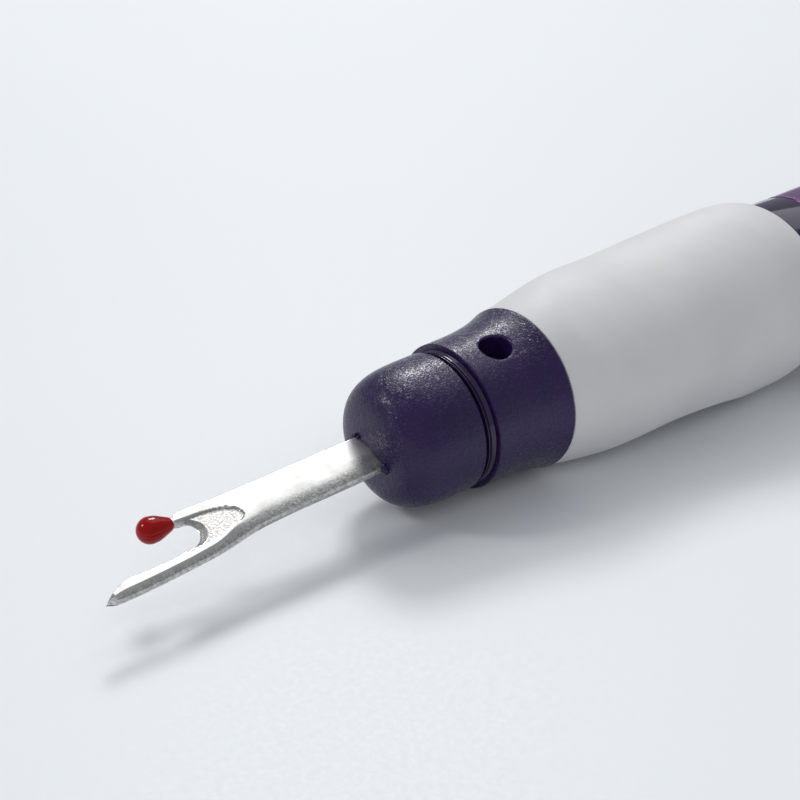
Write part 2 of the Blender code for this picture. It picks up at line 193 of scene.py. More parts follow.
def blunt_dome(station, length, radius, count=48):
    """The blunt round end of the nose, from its edge to its tip: a fourth-power oval."""
    turn = np.linspace(0.0, math.pi / 2, count + 1)[1:-1]
    return ([(station + length * math.sqrt(math.sin(t)), radius * math.sqrt(math.cos(t)))
             for t in turn] + [(station + length, 0.0)])


# ---------------------------------------------------------------- meshes
def lathe(profile, around, closed=False):
    """Vertices and faces of a (station, radius) profile turned about X."""
    verts, rings = [], []
    turn = [2 * math.pi * k / around for k in range(around)]
    for station, radius in profile:
        if radius < 1e-6:
            rings.append([len(verts)])
            verts.append((station, 0.0, 0.0))
        else:
            rings.append(list(range(len(verts), len(verts) + around)))
            verts += [(station, radius * math.sin(t), radius * math.cos(t)) for t in turn]
    faces = []
    pairs = list(zip(rings, rings[1:])) + ([(rings[-1], rings[0])] if closed else [])
    for first, second in pairs:
        for k in range(around):
            n = (k + 1) % around
            if len(first) == 1:
                faces.append((first[0], second[n], second[k]))
            elif len(second) == 1:
                faces.append((first[k], first[n], second[0]))
            else:
                faces.append((first[k], first[n], second[n], second[k]))
    return verts, faces


def new_mesh(name, verts, faces, sharp=SHARP_ANGLE):
    """A closed mesh in millimetres, with its faces pointing out and smooth shading."""
    mesh = bpy.data.meshes.new(name)
    mesh.from_pydata([(x * MM, y * MM, z * MM) for x, y, z in verts], [], faces)
    form = bmesh.new()
    form.from_mesh(mesh)
    bmesh.ops.remove_doubles(form, verts=form.verts, dist=1e-7)
    bmesh.ops.recalc_face_normals(form, faces=form.faces)
    form.to_mesh(mesh)
    form.free()
    mesh.shade_smooth()
    mesh.set_sharp_from_angle(angle=math.radians(sharp))
    return mesh


def new_piece(name, mesh, look, body, node=None, place=TOOL):
    """One visible piece: its material, its place, its body and the node it stands for."""
    piece = bpy.data.objects.new(name, mesh)
    bpy.context.scene.collection.objects.link(piece)
    mesh.materials.clear()
    mesh.materials.append(look)
    piece.matrix_world = place
    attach(piece, body)
    if node:
        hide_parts(node)


def cut(mesh, *cutters):
    """The mesh with closed cutter meshes taken out of it."""
    work = bpy.data.objects.new("cut_work", mesh)
    bpy.context.scene.collection.objects.link(work)
    tools = []
    for cutter in cutters:
        tool = bpy.data.objects.new("cut_tool", cutter)
        bpy.context.scene.collection.objects.link(tool)
        step = work.modifiers.new("cut", "BOOLEAN")
        step.object = tool
        tools.append(tool)
    bpy.context.view_layer.update()
    evaluated = work.evaluated_get(bpy.context.evaluated_depsgraph_get())
    result = bpy.data.meshes.new_from_object(evaluated)
    result.name = mesh.name
    for old in [work] + tools:
        bpy.data.objects.remove(old, do_unlink=True)
    result.shade_smooth()
    result.set_sharp_from_angle(angle=math.radians(SHARP_ANGLE))
    return result


# ---------------------------------------------------------------- blade
near_edge = curve([TIP, (-35.2, -2.98), (-34.3, -3.06), (-31.8, -3.08), (-29.0, -3.0),
                   (-27.0, -2.9), (-24.6, -2.71), (-23.2, -2.5), (-21.9, -2.27), (-20.6, -2.12),
                   (-19.0, -SHANK_HALF), (-12.0, -SHANK_HALF), (TANG_END, -SHANK_HALF)])
far_edge = curve([(-26.45, 2.2), (-26.0, 2.25), (-25.2, 2.24), (-24.0, 2.15), (-22.0, 2.09),
                  (-19.0, SHANK_HALF), (-12.0, SHANK_HALF), (TANG_END, SHANK_HALF)])
arm_edge = curve([(-34.4, -2.2), (-33.7, -1.9), (-31.0, -1.86), (-28.6, -1.81), (-27.6, -1.66),
                  (-26.75, -1.36)])
roll_start = curve([(-35.0, -2.75), (-34.2, -2.6), (-31.5, -2.52), (-28.7, -2.42), (-26.8, -2.3),
                    (-24.2, -1.9), (-22.4, -1.1), (-20.9, -0.5), (-18.5, -0.2), (-12.0, -0.15),
                    (TANG_END, -0.15)])
roll_end = curve([(-35.2, -2.93), (-34.4, -2.98), (-31.8, -3.0), (-29.0, -2.9), (-27.0, -2.8),
                  (-24.6, -2.6), (-21.8, -2.1), (-20.2, -1.88), (-18.0, -1.82), (-12.0, -1.82),
                  (TANG_END, -1.82)])

POCKET = [(-27.6, 1.62), (-26.6, 1.62), (-25.4, 1.52), (-24.4, 1.41), (-23.3, 1.2),
          (-22.3, 0.9), (-21.6, 0.45), (-21.28, -0.1), (-21.3, -0.62), (-21.8, -0.93),
          (-23.1, -1.3), (-24.2, -1.56), (-25.4, -1.78), (-26.6, -1.9), (-27.6, -1.95)]


def along_curve(edge, start, end):
    """Points on an edge from one station to another, at the mesh's spacing."""
    stations = [start]
    step = math.copysign(1.0, end - start)
    while (end - stations[-1]) * step > 1e-9:
        spacing = FINE if stations[-1] + step * COARSE < VISIBLE_FROM + COARSE else COARSE
        stations.append(stations[-1] + step * min(spacing, abs(end - stations[-1])))
    return [(x, float(edge(x))) for x in stations]


def spaced(points):
    """A polyline's points, with more added so that none are further apart than FINE."""
    out = []
    for (x0, y0), (x1, y1) in zip(points, points[1:]):
        count = max(1, math.ceil(math.hypot(x1 - x0, y1 - y0) / FINE))
        out += [(x0 + (x1 - x0) * i / count, y0 + (y1 - y0) * i / count) for i in range(count)]
    return out + [points[-1]]


def blade_outline():
    """Round the blade: near edge, tang, far edge, short arm, peg, crotch, long arm, point."""
    outline = along_curve(near_edge, TIP[0], TANG_END)
    outline += along_curve(far_edge, TANG_END, -26.45)
    turn = np.linspace(math.radians(80), math.radians(-75), 42)
    crotch = [(CROTCH[0] + CROTCH_HALF[0] * math.cos(t), CROTCH[1] + CROTCH_HALF[1] * math.sin(t))
              for t in turn]
    outline += spaced([(-26.62, 2.12), (-26.72, 1.98), (-28.2, 1.94), (-28.2, 1.54), (-26.75, 1.5)]
                      + crotch[:1])
    outline += crotch[1:]
    start = crotch[-1][0] - FINE
    outline += [(x, float(min(arm_edge(x), crotch[-1][1])))
                for x in np.arange(start, -34.4, -FINE)]
    outline += spaced([(-34.4, -2.2), (-34.78, -2.42), (-35.3, -2.74), (-35.5, -2.86)])
    kept = []
    for point in outline:
        if not kept or math.dist(point, kept[-1]) > FINE * 0.3:
            kept.append(point)
    if math.dist(kept[0], kept[-1]) < FINE * 0.3:
        kept.pop()
    return np.array(kept)


def distance_to(points, line):
    """Distance from each point to a closed polyline."""
    best = np.full(len(points), 1e9)
    for a, b in zip(line, np.roll(line, -1, axis=0)):
        ab = b - a
        t = np.clip(((points - a) @ ab) / max(ab @ ab, 1e-12), 0.0, 1.0)
        best = np.minimum(best, np.linalg.norm(points - a - t[:, None] * ab, axis=1))
    return best


def inside(points, line):
    """Which points are inside a closed polyline."""
    x, y = points[:, 0], points[:, 1]
    odd = np.zeros(len(points), bool)
    for (x0, y0), (x1, y1) in zip(line, np.roll(line, -1, axis=0)):
        crosses = (y0 > y) != (y1 > y)
        with np.errstate(divide="ignore", invalid="ignore"):
            reach = (x1 - x0) * (y - y0) / (y1 - y0) + x0
        odd ^= crosses & (x < reach)
    return odd


def crescent_share(points):
    """0 at the sharpened crescent's outer edge and beyond, 1 at its cutting edge."""
    dx = (points[:, 0] - CROTCH[0]) / CROTCH_HALF[0]
    dy = (points[:, 1] - CROTCH[1]) / CROTCH_HALF[1]
    angle = np.degrees(np.arctan2(dy, dx))
    away = (np.hypot(dx, dy) - 1) * CROTCH_HALF[0]
    width = CRESCENT * np.sin(np.pi * np.clip((68 - angle) / 168, 0.0, 1.0)) ** 0.9
    return np.where(width > 0.02, np.clip(1 - away / np.maximum(width, 0.02), 0.0, 1.0), 0.0)


def pocket_share(points):
    """0 outside the coined pocket, rising over its walls to 1 on its floor."""
    pocket = np.array(POCKET)
    depth_in = np.where(inside(points, pocket), distance_to(points, pocket), 0.0)
    wall = 0.10 + 0.24 * smooth((-22.5 - points[:, 0]) / 4.0) * (points[:, 1] > 0.2)
    return smooth(depth_in / wall)


def blade_heights(points, outline):
    """Heights of the blade's upper and lower skins at points in its plane."""
    x, y = points[:, 0], points[:, 1]
    top = np.full(len(points), THICKNESS / 2)
    low = np.full(len(points), -THICKNESS / 2)
    # The near edge: rolled on the shank, a ground bevel on the long arm, then a sheared side
    start, end, edge = roll_start(x), roll_end(x), near_edge(x)
    power = 1.6 - 0.5 * smooth((-20.5 - x) / 4.0)
    over = np.clip((start - y) / np.maximum(start - end, 0.02), 0.0, 1.0)
    side = np.clip((end - y) / np.maximum(end - edge, 0.02), 0.0, 1.0)
    top -= ROLL_DROP * over ** power + (SIDE_DROP - ROLL_DROP) * side
    top -= 0.05 * np.exp(-((side - 0.45) / 0.16) ** 2) * (side > 0)
    # The coined pocket, with a sloping far wall and a steep near wall
    top -= POCKET_DEPTH * pocket_share(points)
    # The sharpened crescent, from both sides
    share = crescent_share(points)
    floor = THICKNESS / 2 - POCKET_DEPTH
    top -= (floor - 0.03) * share
    low += (THICKNESS / 2 - 0.05) * share * 0.9
    # The needle point is ground away from above and below
    nib = np.clip((-34.7 - x) / 0.9, 0.0, 1.0)
    top -= 0.38 * nib
    low += 0.34 * nib
    # Every other edge is broken a little
    rim = np.clip(1 - distance_to(points, outline) / 0.07, 0.0, 1.0) ** 2
    top -= 0.05 * rim
    low += 0.06 * rim
    return np.maximum(top, low + 0.035), low


def make_blade(look):
    """The blade as two skins over one triangulated plan, joined round the outline."""
    outline = blade_outline()
    low, high = outline.min(axis=0), outline.max(axis=0)
    grid = []
    for column, x in enumerate(np.arange(low[0], VISIBLE_FROM, FINE)):
        grid += [(x, y + FINE / 2 * (column % 2)) for y in np.arange(low[1], high[1], FINE)]
    for x in np.arange(VISIBLE_FROM + COARSE / 2, high[0], COARSE):
        grid += [(x, y) for y in np.arange(low[1], high[1], COARSE)]
    grid = np.array(grid)
    grid = grid[grid[:, 1] > roll_start(grid[:, 0]) + 0.04]
    rows = []
    xs = np.arange(-35.3, VISIBLE_FROM, FINE)
    start, end, edge = roll_start(xs), roll_end(xs), near_edge(xs)
    for share in np.linspace(0.0, 1.0, 9):
        rows.append(np.c_[xs, start + (end - start) * share])
    for share in (0.15, 0.3, 0.45, 0.6, 0.8):
        rows.append(np.c_[xs, end + (edge - end) * share])
    inner = np.vstack([grid] + rows)
    inner = inner[inside(inner, outline)]
    inner = inner[distance_to(inner, outline) > 0.035]
    turn = np.linspace(math.radians(-100), math.radians(85), 130)
    for reach in np.linspace(0.05, 0.8, 16):    # rows that follow the sharpened crescent
        row = np.c_[CROTCH[0] + (CROTCH_HALF[0] + reach) * np.cos(turn),
                    CROTCH[1] + (CROTCH_HALF[1] + reach) * np.sin(turn)]
        inner = inner[distance_to(inner, row) > 0.03]
        row = row[inside(row, outline)]
        inner = np.vstack([inner, row[distance_to(row, outline) > 0.03]])
    ring = outline - CROTCH
    near_crotch = np.hypot(ring[:, 0], ring[:, 1]) < 1.7
    for reach in (0.04, 0.08):          # extra rows just inside the edge
        shifted = []
        for before, here, after in zip(np.roll(outline, 1, 0), outline, np.roll(outline, -1, 0)):
            along = after - before
            normal = np.array((-along[1], along[0])) / max(np.linalg.norm(along), 1e-9)
            shifted.append(here + normal * reach)
        shifted = np.array(shifted)[~near_crotch]
        keep = inside(shifted, outline) & (distance_to(shifted, outline) > reach * 0.7)
        inner = np.vstack([inner, shifted[keep]])
    count = len(outline)
    flat = [Vector(p) for p in np.vstack([outline, inner])]
    border = [(i, (i + 1) % count) for i in range(count)]
    points, edges, triangles, *_ = delaunay_2d_cdt(flat, border, [], 1, 1e-5)
    points = np.array([tuple(p) for p in points])
    top, low = blade_heights(points, outline)
    total = len(points)
    verts = [(x, y, z) for (x, y), z in zip(points, top)]
    verts += [(x, y, z) for (x, y), z in zip(points, low)]
    faces = [tuple(t) for t in triangles]
    faces += [tuple(i + total for i in reversed(t)) for t in triangles]
    used = {}
    for triangle in triangles:
        for a, b in zip(triangle, list(triangle[1:]) + [triangle[0]]):
            used[(a, b)] = True
    for a, b in used:
        if (b, a) not in used:
            faces.append((b, a, a + total, b + total))
    mesh = new_mesh("blade_forked", verts, faces, sharp=28.0)
    spots = np.array([tuple(vert.co) for vert in mesh.vertices]) / MM
    coined = pocket_share(spots[:, :2]) * (1 - crescent_share(spots[:, :2])) * (spots[:, 2] > 0)
    mesh.attributes.new("coined", "FLOAT", "POINT").data.foreach_set("value", coined)
    new_piece("blade_forked", mesh, look, "handle", "blade", BLADE_PLANE)


def make_bead(look):
    """A drop of red plastic: a ball drawn out to a neck that swallows the short arm's end."""
    ball = BEAD_LENGTH - BEAD_RADIUS
    neck = curve([(0.0, 0.30), (0.18, 0.52), (0.45, 0.66), (0.9, 0.86), (1.4, 1.06),
                  (ball, BEAD_RADIUS)])
    profile = [(0.0, 0.0)] + [(-d, float(neck(d))) for d in np.linspace(0.0, ball, 26)]
    profile += [(-ball - BEAD_RADIUS * math.sin(t), BEAD_RADIUS * math.cos(t))
                for t in np.linspace(0.0, math.pi / 2, 26)[1:-1]] + [(-BEAD_LENGTH, 0.0)]
    verts, faces = lathe(profile, 72)
    mesh = new_mesh("bead_drop", verts, faces, sharp=60.0)
    place = (BLADE_PLANE @ Matrix.Translation((BEAD_NECK[0] * MM, BEAD_NECK[1] * MM, 0.0))
             @ Matrix.Rotation(BEAD_TILT, 4, "Z"))
    new_piece("bead_drop", mesh, look, "handle", "tip_bead", place)


# ---------------------------------------------------------------- nose, ring and collar
def box_mesh(name, low, high):
    corners = [(x, y, z) for x in (low[0], high[0]) for y in (low[1], high[1])
               for z in (low[2], high[2])]
    faces = [(0, 1, 3, 2), (4, 6, 7, 5), (0, 4, 5, 1), (2, 3, 7, 6), (0, 2, 6, 4), (1, 5, 7, 3)]
    return new_mesh(name, corners, faces)


def make_nose(look):
    dome = [(-x, r) for x, r in blunt_dome(0.12, NOSE_LENGTH - 0.12, NOSE_RADIUS)]
    profile = [(NOSE_SPIGOT_END, 0.0), (NOSE_SPIGOT_END, SPIGOT_RADIUS), (0.0, SPIGOT_RADIUS)]
    profile += rounded([(0.0, SPIGOT_RADIUS), (0.0, NOSE_RADIUS, 0.11), (-0.4, NOSE_RADIUS)])[1:]
    profile += [(x, r) for x, r in dome if x < -0.45]
    verts, faces = lathe(profile, 200)
    mesh = new_mesh("nose_dome", verts, faces)
    gap = 0.05
    slot = box_mesh("slot", (-12.0, -SHANK_HALF - gap, BLADE_DROP - THICKNESS / 2 - gap),
                    (TANG_END, SHANK_HALF + gap, BLADE_DROP + THICKNESS / 2 + gap))
    slot.transform(Matrix.Rotation(BLADE_SKEW, 4, "Z"))
    mesh = cut(mesh, slot)
    new_piece("nose_dome", mesh, look, "handle", "blade_holder")


def make_flash(look):
    """Small beads of plastic squeezed out of the slot at the blade's two edges."""
    verts, faces = [], []
    blobs = [(-7.95, 2.13, -0.12, 0.34, 11), (-7.9, 1.8, 0.24, 0.17, 12),
             (-7.78, -2.16, -0.1, 0.42, 13), (-7.7, -1.72, 0.26, 0.2, 14),
             (-7.74, -2.3, -0.52, 0.3, 15)]
    for x, y, z, size, seed in blobs:
        form = bmesh.new()
        bmesh.ops.create_icosphere(form, subdivisions=4, radius=1.0)
        draw = np.random.default_rng(seed)
        waves = draw.normal(size=(6, 3)) * 2.4
        phases = draw.uniform(0, 2 * math.pi, 6)
        base = len(verts)
        for vert in form.verts:
            swell = 1 + 0.09 * sum(math.sin(float(w @ np.array(vert.co)) + p)
                                   for w, p in zip(waves, phases))
            spot = vert.co * size * swell
            verts.append((x + spot.x * 0.75, y + spot.y, z + spot.z))
        faces += [tuple(base + v.index for v in face.verts) for face in form.faces]
        form.free()
    mesh = new_mesh("slot_flash", verts, faces, sharp=70.0)
    new_piece("slot_flash", mesh, look, "handle")


def make_ring(look):
    start, end, radius = RING
    middle = (start + end) / 2
    profile = rounded([(end, BORE + 0.3), (end, radius, 0.10), (middle, radius - RING_GROOVE, 0.12),
                       (start, radius, 0.10), (start, BORE + 0.3)])
    profile += [(start, BORE), (end, BORE)]
    verts, faces = lathe(profile, 200, closed=True)
    new_piece("snap_band", new_mesh("snap_band", verts, faces), look, "handle",
              "snap_ring")


def collar_radius(station):
    """Radius of the collar, which flares late towards the grip."""
    share = min(max((station - COLLAR[0]) / (COLLAR[1] - COLLAR[0]), 0.0), 1.0)
    return COLLAR_RADII[0] + (COLLAR_RADII[1] - COLLAR_RADII[0]) * share ** 3.2


def hole_cutter():
    """The side hole with its rounded lip, which follows the collar's curved skin."""
    around = 72
    rows = [(HOLE_RADIUS, None), (HOLE_RADIUS, -0.30), (HOLE_RADIUS + 0.015, -0.20),
            (HOLE_RADIUS + 0.05, -0.115), (HOLE_RADIUS + 0.11, -0.05), (HOLE_RADIUS + 0.19, -0.012),
            (HOLE_RADIUS + 0.29, 0.006), (HOLE_RADIUS + 0.42, 0.05), (HOLE_RADIUS + 0.5, 0.8)]
    verts = []
    for radius, above in rows:
        for k in range(around):
            t = 2 * math.pi * k / around
            x = HOLE_STATION + radius * math.cos(t)
            y = radius * math.sin(t)
            skin = math.sqrt(collar_radius(x) ** 2 - y * y)
            verts.append((x, y, 3.0 if above is None else skin + above))
    faces = []
    for row in range(len(rows) - 1):
        for k in range(around):
            n = (k + 1) % around
            a, b = row * around, (row + 1) * around
            faces.append((a + k, a + n, b + n, b + k))
    faces.append(tuple(range(around)))
    faces.append(tuple(range((len(rows) - 1) * around, len(rows) * around)))
    return new_mesh("hole_cutter", verts, faces)


def make_collar(look):
    start, end = COLLAR
    flare = [(x, collar_radius(x)) for x in np.linspace(end - 0.3, start + 0.35, 60)]
    profile = rounded([(end, BORE), (end, COLLAR_RADII[1], 0.14), flare[0]]) + flare[1:]
    profile += rounded([flare[-1], (start, COLLAR_RADII[0], 0.16), (start, BORE)])[1:]
    verts, faces = lathe(profile, 220, closed=True)
    mesh = cut(new_mesh("flared_collar", verts, faces), hole_cutter())
    new_piece("flared_collar", mesh, look, "handle", "neck_collar")


# ---------------------------------------------------------------- grip
grip_profile = curve(GRIP_PROFILE)


def grip_skin(station, angle):
    """Radius of the grip, with its two rests: shallow ovals that end in a soft crease."""
    radius = float(grip_profile(station))
    for middle, half_angle in SCALLOPS:
        away = ((angle - middle + 180) % 360 - 180) / half_angle
        along = (station - SCALLOP_STATION) / SCALLOP_HALF_LENGTH
        reach = math.hypot(along, away)
        scoop = 1 - reach * reach
        softness = 0.04 if along > 0 else 0.07
        radius -= SCALLOP_DEPTH * (scoop + math.hypot(scoop, softness)) / 2
    return radius


def make_grip(look):
    around, count = 264, 190
    down = math.pi + ROLL
    to_row = np.array(TOOL)
    length = GRIP[1] - GRIP[0]
    stations = [GRIP[0] + length * (0.5 - 0.5 * math.cos(math.pi * (0.04 + 0.96 * i / count)))
                for i in range(count + 1)]
    stations[0] = GRIP[0]
    verts = []
    for station in stations:
        sag = BELLY_DROP * float(smooth((station - 16.0) / 20.0))
        for k in range(around):
            angle = 360.0 * k / around
            radius = grip_skin(station, angle)
            verts.append((station, radius * math.sin(math.radians(angle)) + sag * math.sin(down),
                          radius * math.cos(math.radians(angle)) + sag * math.cos(down)))
    verts = np.array(verts)
    # The soft grip flattens where it lies on the ground
    ground = to_row[2, 0] * verts[:, 0] + to_row[2, 1] * verts[:, 1] + to_row[2, 2] * verts[:, 2]
    ground += to_row[2, 3] / MM
    verts += np.outer(np.maximum(-ground, 0.0), to_row[2, :3])
    verts = [tuple(v) for v in verts]
    for station in (GRIP[1], GRIP[0]):
        verts += [(station, GRIP_BORE * math.sin(2 * math.pi * k / around),
                   GRIP_BORE * math.cos(2 * math.pi * k / around)) for k in range(around)]
    rings = count + 3
    faces = []
    for i in range(rings):
        a, b = i * around, (i + 1) % rings * around
        faces += [(a + k, a + (k + 1) % around, b + (k + 1) % around, b + k) for k in range(around)]
    mesh = new_mesh("soft_grip", verts, faces, sharp=50.0)
    new_piece("soft_grip", mesh, look, "handle", "grip_sleeve")


# ---------------------------------------------------------------- handle behind the grip
def tongue_mesh(name, side, clearance=0.0, outer=None):
    """One side tongue: a long plate with a round end, bent to the handle's radius."""
    half = TONGUE_HALF_WIDTH + clearance
    inner_radius, outer_radius = TONGUE_RADII[0] - clearance, outer or TONGUE_RADII[1]
    bend = TONGUE_END - TONGUE_HALF_WIDTH
    rows = [(x, half) for x in np.linspace(SHOULDER[1] - 0.6, bend, 12)]
    rows += [(bend + half * math.sin(t), half * math.cos(t)) for t in np.linspace(0.0, 1.56, 25)[1:]]
    across = np.linspace(-1.0, 1.0, 33)
    verts = []
    for radius in (outer_radius, inner_radius):
        for x, reach in rows:
            for v in across:
                z = reach * v
                verts.append((x, side * math.sqrt(radius * radius - z * z), z))
    wide, tall = len(across), len(rows)
    skin = wide * tall
    faces = []
    for i in range(tall - 1):
        for k in range(wide - 1):
            a = i * wide + k
            faces.append((a, a + 1, a + wide + 1, a + wide))
            faces.append((skin + a, skin + a + wide, skin + a + wide + 1, skin + a + 1))
    border = list(range(wide))
    border += [i * wide + wide - 1 for i in range(1, tall)]
    border += [(tall - 1) * wide + k for k in range(wide - 2, -1, -1)]
    border += [i * wide for i in range(tall - 2, 0, -1)]
    for a, b in zip(border, border[1:] + border[:1]):
        faces.append((a, b, b + skin, a + skin))
    return new_mesh(name, verts, faces)


def make_handle(look):
    """The spine with its visible shoulder, and a tongue on either side behind it."""
    front, rear = SHOULDER
    seat, seat_radius = GRIP_SEAT
    profile = [(SPINE_END, 0.0)]
    profile += rounded([(SPINE_END, 0.0), (SPINE_END, SPINE_RADIUS, 0.4), (rear, SPINE_RADIUS)])[1:]
    profile += rounded([(rear, SPINE_RADIUS), (rear, HANDLE_RADIUS, 0.14),
                        (front, HANDLE_RADIUS, 0.3), (front, seat_radius)])[1:]
    profile += [(seat, seat_radius), (seat, SPIGOT_RADIUS), (HANDLE_FRONT, SPIGOT_RADIUS),
                (HANDLE_FRONT, 0.0)]
    verts, faces = lathe(profile, 200)
    new_piece("handle_shoulder", new_mesh("handle_shoulder", verts, faces), look, "handle",
              "handle_core")
    for side, word in ((1, "far"), (-1, "near")):
        name = "handle_tongue_" + word
        new_piece(name, tongue_mesh(name, side), look, "handle")


def make_barrel(look):
    """The barrel swells a little between its thick front and its rear edge."""
    start, end = BARREL
    straight = BARREL_THICK_END
    narrow, wide = BARREL_BORES
    skin = [(end - 0.9, HANDLE_RADIUS)]
    for share in np.linspace(0.0, 1.0, 30):
        station = end - 1.2 - (end - 1.2 - straight) * share
        swell = math.sin(math.pi * (end - station) / (end - straight))
        skin.append((station, HANDLE_RADIUS + BARREL_SWELL * swell))
    profile = rounded([(end, wide), (end, HANDLE_RADIUS - 0.1, 0.3), skin[0]]) + skin[1:]
    profile += rounded([skin[-1], (start, HANDLE_RADIUS, 0.14), (start, narrow)])[1:]
    profile += rounded([(start, narrow), (straight, narrow, 0.8), (straight + 1.5, wide, 0.8),
                        (end, wide)])[1:-1]
    verts, faces = lathe(profile, 180, closed=True)
    mesh = new_mesh("tinted_barrel", verts, faces)
    mesh = cut(mesh, tongue_mesh("seat_far", 1, SEAT_CLEARANCE, SEAT_RADIUS),
               tongue_mesh("seat_near", -1, SEAT_CLEARANCE, SEAT_RADIUS))
    new_piece("tinted_barrel", mesh, look, "handle", "rear_barrel")


def make_plug(look):
    """The plug that closes the barrel, with a blunt post of the nose's size behind its flange."""
    spigot, flange, flange_end = PLUG
    spigot_radius, flange_radius, neck_radius = PLUG_RADII
    (bore_end, bore_radius), bore_floor = PLUG_BORE
    start, end = POST
    profile = blunt_dome(start + 0.12, end - start - 0.12, NOSE_RADIUS)[::-1]
    profile = [(x, r) for x, r in profile if x > start + 0.5]
    profile += rounded([profile[-1], (start, NOSE_RADIUS, 0.12), (start, neck_radius),
                        (flange_end, neck_radius), (flange_end, flange_radius, 0.2),
                        (flange, flange_radius, 0.12), (flange, spigot_radius),
                        (spigot, spigot_radius, 0.3), (spigot, bore_radius),
                        (bore_end, bore_radius)])[1:]
    profile += [bore_floor, (bore_floor[0], 0.0)]
    verts, faces = lathe(profile, 180)
    new_piece("tail_post", new_mesh("tail_post", verts, faces), look, "handle",
              "tail_plug")


def make_cap(look):
    """A clear thimble with a rounded closed end, a rolled mouth and a snap lip inside it."""
    mouth, end = CAP
    inner, outer = CAP_RADII
    inner_end = end - CAP_END_WALL
    profile = rounded([(end, 0.0), (end, outer, 1.5), (mouth, outer, 0.1),
                       (mouth, inner - CAP_LIP, 0.1), (mouth + 0.7, inner - CAP_LIP, 0.1),
                       (mouth + 1.0, inner, 0.1), (inner_end, inner, 0.9), (inner_end, 0.0)],
                      steps=10)
    verts, faces = lathe(profile, 200)
    new_piece("clear_cap", new_mesh("clear_cap", verts, faces), look, "cap", "cap")


# ---------------------------------------------------------------- materials
class Look:
    """A Principled material, with a short way to add and join nodes."""

    def __init__(self, name, **values):
        self.material = bpy.data.materials.new(name)
        self.material.use_nodes = True
        self.tree = self.material.node_tree
        self.shader = self.tree.nodes["Principled BSDF"]
        self.place = self.node("ShaderNodeTexCoord").outputs["Object"]
        for key, value in values.items():
            self.shader.inputs[key.replace("_", " ")].default_value = value
        self.material.diffuse_color = self.shader.inputs["Base Color"].default_value

    def node(self, kind, settings=(), **inputs):
        made = self.tree.nodes.new(kind)
        for key, value in dict(settings).items():
            setattr(made, key, value)
        for key, value in inputs.items():
            socket = made.inputs[key.replace("_", " ")]
            if isinstance(value, bpy.types.NodeSocket):
                self.tree.links.new(value, socket)
            else:
                socket.default_value = value
        return made

    def stretched(self, x, y, z):
        """Object coordinates scaled along the tool's axes."""
        return self.node("ShaderNodeMapping", Vector=self.place, Scale=(x, y, z)).outputs["Vector"]

    def noise(self, scale, detail=3.0, roughness=0.55, distortion=0.0, vector=None):
        return self.node("ShaderNodeTexNoise", Vector=vector or self.place, Scale=scale,
                         Detail=detail, Roughness=roughness,
                         Distortion=distortion).outputs["Fac"]

    def cells(self, scale):
        made = self.node("ShaderNodeTexVoronoi", {"feature": "SMOOTH_F1"}, Vector=self.place,
                         Scale=scale)
        return made.outputs["Distance"]

    def remap(self, value, low, high, start=0.0, end=1.0):
        made = self.node("ShaderNodeMapRange", Value=value)
        limits = (("From Min", low), ("From Max", high), ("To Min", start), ("To Max", end))
        for key, number in limits:
            made.inputs[key].default_value = number
        return made.outputs["Result"]

    def maths(self, operation, a, b):
        made = self.tree.nodes.new("ShaderNodeMath")
        made.operation = operation
        for socket, value in zip(made.inputs, (a, b)):
            if isinstance(value, bpy.types.NodeSocket):
                self.tree.links.new(value, socket)
            else:
                socket.default_value = value
        return made.outputs[0]

    def tint(self, share, first, second):
        """A colour between two, by share."""
        made = self.tree.nodes.new("ShaderNodeMix")
        made.data_type = "RGBA"
        self.tree.links.new(share, made.inputs[0])
        made.inputs[6].default_value = (*first, 1.0)
        made.inputs[7].default_value = (*second, 1.0)
        return made.outputs[2]

    def blend(self, share, first, second):
        """A colour between two colour outputs, by share."""
        made = self.tree.nodes.new("ShaderNodeMix")
        made.data_type = "RGBA"
        for index, value in ((0, share), (6, first), (7, second)):
            self.tree.links.new(value, made.inputs[index])
        return made.outputs[2]

    def give(self, socket, value):
        self.tree.links.new(value, self.shader.inputs[socket])

    def bump(self, layers):
        """Bump from (height, distance in metres, strength) layers, one on another."""
        normal = None
        for height, distance, strength in layers:
            made = self.node("ShaderNodeBump", Height=height, Distance=distance, Strength=strength)
            if normal is not None:
                self.tree.links.new(normal, made.inputs["Normal"])
            normal = made.outputs["Normal"]
        self.tree.links.new(normal, self.shader.inputs["Normal"])


